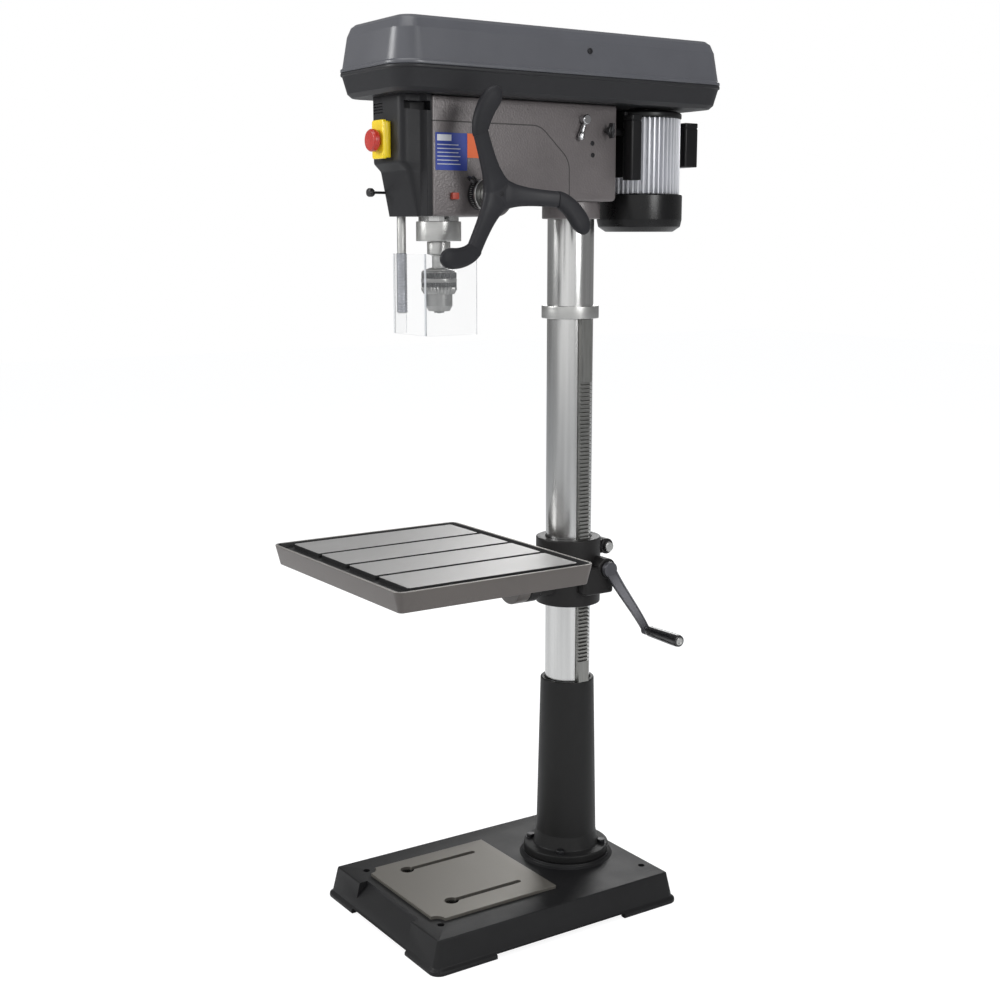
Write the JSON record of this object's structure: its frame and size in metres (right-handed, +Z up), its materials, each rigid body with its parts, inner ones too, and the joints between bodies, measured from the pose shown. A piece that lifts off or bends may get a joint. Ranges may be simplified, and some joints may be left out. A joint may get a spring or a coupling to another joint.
{
  "type": "drill press",
  "caption": "Floor-standing drill press: heavy base, steel column, crank-raised slotted table, belt-driven head with three-arm feed handle, chuck and clear guard.",
  "frame": {"origin": "on the floor, under the middle of the press's outline seen from above", "axes": "+Z up along the column; the operator stands at -Y and the table's crank is on the +X side"},
  "size_m": [0.5016, 0.8416, 1.7273],
  "materials": {
    "base_iron": "satin dark grey paint over cast iron, pad scraped bright olive grey",
    "sleeve_iron": "satin near-black paint over cast iron",
    "bracket_iron": "satin near-black paint over cast iron",
    "table_iron": "warm grey painted casting with machined strips",
    "column_steel": "ground steel tube",
    "ring_steel": "bright turned steel",
    "rack_steel": "cut steel rack",
    "dark_steel": "machined steel",
    "spring_steel": "blued spring steel",
    "chuck_steel": "knurled and turned steel",
    "chrome_lever": "polished chrome",
    "head_paint": "hammered warm grey paint",
    "nose_plastic": "fine-grained black plastic",
    "tray_paint": "dark grey powder coat",
    "lid_paint": "satin blue-grey powder coat",
    "switch_yellow": "glossy yellow plastic",
    "stop_red": "red plastic",
    "start_green": "green plastic",
    "black_metal": "black paint",
    "fan_black": "glossy black",
    "black_plastic": "black plastic",
    "depth_black": "black ring with plain graduations and a bright edge",
    "belt_rubber": "rubber",
    "cast_aluminium": "cast aluminium",
    "clamp_aluminium": "grey ribbed aluminium",
    "crank_aluminium": "cast aluminium, ground face",
    "handle_grey": "soft-touch dark grey",
    "grip_black": "glossy black grip",
    "clear_shield": "clear polycarbonate"
  },
  "bodies": {
    "frame": {"base_casting": "base_iron", "column_sleeve": "sleeve_iron", "column_tube": "column_steel", "rack_ring": "ring_steel", "head_casting": "head_paint", "nose_cover": "nose_plastic", "belt_tray": "tray_paint", "switch_box": "switch_yellow", "spring_cap": "black_metal", "return_spring": "spring_steel", "spindle_belt": "belt_rubber", "motor_belt": "belt_rubber", "idler_arm": "dark_steel"},
    "quill": {"quill": "column_steel", "quill_collar": "ring_steel", "quill_bearing": "ring_steel"},
    "spindle": {"spindle_shaft": "dark_steel", "chuck_body": "chuck_steel"},
    "chuck_sleeve": {"chuck_sleeve": "chuck_steel"},
    "jaw_1": {"chuck_jaw_1": "dark_steel"},
    "jaw_2": {"chuck_jaw_2": "dark_steel"},
    "jaw_3": {"chuck_jaw_3": "dark_steel"},
    "spindle_pulley": {"spindle_pulley": "cast_aluminium"},
    "idler_pulley": {"idler_pulley": "cast_aluminium"},
    "motor": {"motor_frame": "cast_aluminium", "motor_end_bell": "black_metal", "fan_cover": "fan_black", "terminal_box": "black_plastic", "capacitor_box": "black_plastic", "motor_mount": "black_metal"},
    "rotor": {"rotor_shaft": "dark_steel", "motor_pulley": "cast_aluminium", "cooling_fan": "black_plastic"},
    "feed": {"feed_shaft": "ring_steel", "feed_spider": "handle_grey", "feed_grip_1": "handle_grey", "feed_grip_2": "handle_grey", "feed_grip_3": "handle_grey"},
    "depth_ring": {"depth_ring": "depth_black"},
    "depth_knob": {"depth_knob": "black_plastic"},
    "lid": {"guard_lid": "lid_paint"},
    "guard_rod": {"guard_rod": "ring_steel"},
    "shield": {"shield_clamp": "clamp_aluminium", "guard_shield": "clear_shield"},
    "guard_knob": {"guard_knob": "black_plastic"},
    "flap": {"switch_flap": "switch_yellow"},
    "mushroom": {"stop_mushroom": "stop_red"},
    "start_button": {"start_button": "start_green"},
    "stop_button": {"stop_button": "stop_red"},
    "tension_lever": {"tension_lever": "chrome_lever"},
    "lock_knob": {"motor_lock_knob": "black_plastic"},
    "rack": {"lift_rack": "rack_steel"},
    "bracket": {"table_bracket": "bracket_iron", "tilt_bolt": "dark_steel"},
    "lift_gear": {"lift_gear": "dark_steel"},
    "crank": {"worm_shaft": "dark_steel", "crank_arm": "crank_aluminium"},
    "grip": {"crank_grip": "grip_black"},
    "table": {"table_casting": "table_iron"},
    "clamp": {"clamp_lever": "black_metal"}
  },
  "joints": [
    {"name": "feed_turn", "type": "hinge", "parent": "frame", "child": "feed", "pos_m": [-0.00075, -0.1337, 1.4245], "axis": [1, 0, 0], "range_deg": [0, 549], "stiffness_Nm_per_rad": 0.15, "springref_deg": -630.25},
    {"name": "quill_feed", "type": "slide", "parent": "frame", "child": "quill", "axis": [0, 0, -1], "range_m": [0, 0.11501]},
    {"name": "spindle_spin", "type": "hinge", "parent": "quill", "child": "spindle", "pos_m": [-0.00075, -0.1812, 1.317], "axis": [0, 0, 1], "continuous": true},
    {"name": "spindle_pulley_turn", "type": "hinge", "parent": "frame", "child": "spindle_pulley", "pos_m": [-0.00075, -0.1812, 1.6058], "axis": [0, 0, 1], "continuous": true},
    {"name": "idler_turn", "type": "hinge", "parent": "frame", "child": "idler_pulley", "pos_m": [-0.00075, 0.0458, 1.6058], "axis": [0, 0, 1], "continuous": true},
    {"name": "rotor_spin", "type": "hinge", "parent": "motor", "child": "rotor", "pos_m": [-0.00075, 0.2958, 1.4333], "axis": [0, 0, 1], "continuous": true},
    {"name": "chuck_sleeve_turn", "type": "hinge", "parent": "spindle", "child": "chuck_sleeve", "pos_m": [-0.00075, -0.1812, 1.292], "axis": [0, 0, 1], "range_deg": [0, 720]},
    {"name": "jaw_slide_1", "type": "slide", "parent": "spindle", "child": "jaw_1", "axis": [0, 0.225, 0.9744], "range_m": [0, 0.0201]},
    {"name": "jaw_slide_2", "type": "slide", "parent": "spindle", "child": "jaw_2", "axis": [-0.1948, -0.1125, 0.9744], "range_m": [0, 0.0201]},
    {"name": "jaw_slide_3", "type": "slide", "parent": "spindle", "child": "jaw_3", "axis": [0.1948, -0.1125, 0.9744], "range_m": [0, 0.0201]},
    {"name": "motor_slide", "type": "slide", "parent": "frame", "child": "motor", "axis": [0, -1, 0], "range_m": [0, 0.018]},
    {"name": "tension_lever_turn", "type": "hinge", "parent": "frame", "child": "tension_lever", "pos_m": [0.06925, 0.0998, 1.568], "axis": [1, 0, 0], "range_deg": [0, 45.1]},
    {"name": "motor_lock_turn", "type": "hinge", "parent": "frame", "child": "lock_knob", "pos_m": [0.06925, 0.1548, 1.549], "axis": [1, 0, 0], "range_deg": [0, 360]},
    {"name": "depth_set", "type": "hinge", "parent": "feed", "child": "depth_ring", "pos_m": [-0.00075, -0.1337, 1.4245], "axis": [1, 0, 0], "range_deg": [-300, 30]},
    {"name": "depth_knob_turn", "type": "hinge", "parent": "depth_ring", "child": "depth_knob", "pos_m": [0.08385, -0.1337, 1.4245], "axis": [0, -0.7071, 0.7071], "range_deg": [0, 360]},
    {"name": "lid_hinge", "type": "hinge", "parent": "frame", "child": "lid", "pos_m": [-0.12975, 0.1238, 1.6426], "axis": [0, -1, 0], "range_deg": [0, 95]},
    {"name": "guard_swing", "type": "hinge", "parent": "frame", "child": "guard_rod", "pos_m": [-0.04975, -0.2327, 1.386], "axis": [0, 0, -1], "range_deg": [0, 110]},
    {"name": "shield_height", "type": "slide", "parent": "guard_rod", "child": "shield", "axis": [0, 0, 1], "range_m": [0, 0.055]},
    {"name": "guard_knob_turn", "type": "hinge", "parent": "frame", "child": "guard_knob", "pos_m": [-0.04975, -0.2912, 1.429], "axis": [0, 1, 0], "range_deg": [0, 360]},
    {"name": "flap_hinge", "type": "hinge", "parent": "frame", "child": "flap", "pos_m": [-0.00075, -0.3025, 1.5544], "axis": [-1, 0, 0], "range_deg": [0, 110]},
    {"name": "mushroom_push", "type": "slide", "parent": "flap", "child": "mushroom", "axis": [0, 1, 0], "range_m": [0, 0.003], "stiffness_N_per_m": 400, "springref_m": -0.002},
    {"name": "start_push", "type": "slide", "parent": "frame", "child": "start_button", "axis": [0, 1, 0], "range_m": [0, 0.002], "stiffness_N_per_m": 400, "springref_m": -0.002},
    {"name": "stop_push", "type": "slide", "parent": "frame", "child": "stop_button", "axis": [0, 1, 0], "range_m": [0, 0.002], "stiffness_N_per_m": 400, "springref_m": -0.002},
    {"name": "table_swing", "type": "hinge", "parent": "frame", "child": "rack", "pos_m": [-0.00075, 0.1238, 0.451], "axis": [0, 0, 1], "range_deg": [-90, 90]},
    {"name": "crank_turn", "type": "hinge", "parent": "bracket", "child": "crank", "pos_m": [0.06875, 0.1548, 0.6912], "axis": [1, 0, 0], "range_deg": [-7024, 17644]},
    {"name": "table_lift", "type": "slide", "parent": "rack", "child": "bracket", "axis": [0, 0, 1], "range_m": [-0.1532, 0.3849]},
    {"name": "lift_gear_turn", "type": "hinge", "parent": "bracket", "child": "lift_gear", "pos_m": [0.06875, 0.1238, 0.6662], "axis": [0, 1, 0], "range_deg": [-1471, 586]},
    {"name": "grip_spin", "type": "hinge", "parent": "crank", "child": "grip", "pos_m": [0.15475, 0.21228, 0.56794], "axis": [1, 0, 0], "continuous": true},
    {"name": "table_tilt", "type": "hinge", "parent": "bracket", "child": "table", "pos_m": [-0.00075, 0.005, 0.668], "axis": [0, -1, 0], "range_deg": [-45, 45]},
    {"name": "clamp_turn", "type": "hinge", "parent": "bracket", "child": "clamp", "pos_m": [-0.03275, 0.1998, 0.722], "axis": [1, 0, 0], "range_deg": [-35, 35]}
  ],
  "couplings": [
    {"joint": "quill_feed", "follows": "feed_turn", "m_per_rad": 0.012},
    {"joint": "spindle_pulley_turn", "follows": "spindle_spin", "ratio": 1},
    {"joint": "idler_turn", "follows": "spindle_spin", "ratio": 1.8824},
    {"joint": "rotor_spin", "follows": "spindle_spin", "ratio": 1.8824},
    {"joint": "tension_lever_turn", "follows": "motor_slide", "rad_per_m": 43.633},
    {"joint": "crank_turn", "follows": "table_lift", "rad_per_m": 800},
    {"joint": "lift_gear_turn", "follows": "table_lift", "rad_per_m": -66.667},
    {"joint": "jaw_slide_1", "follows": "chuck_sleeve_turn", "m_per_rad": 0.0016},
    {"joint": "jaw_slide_2", "follows": "chuck_sleeve_turn", "m_per_rad": 0.0016},
    {"joint": "jaw_slide_3", "follows": "chuck_sleeve_turn", "m_per_rad": 0.0016}
  ]
}
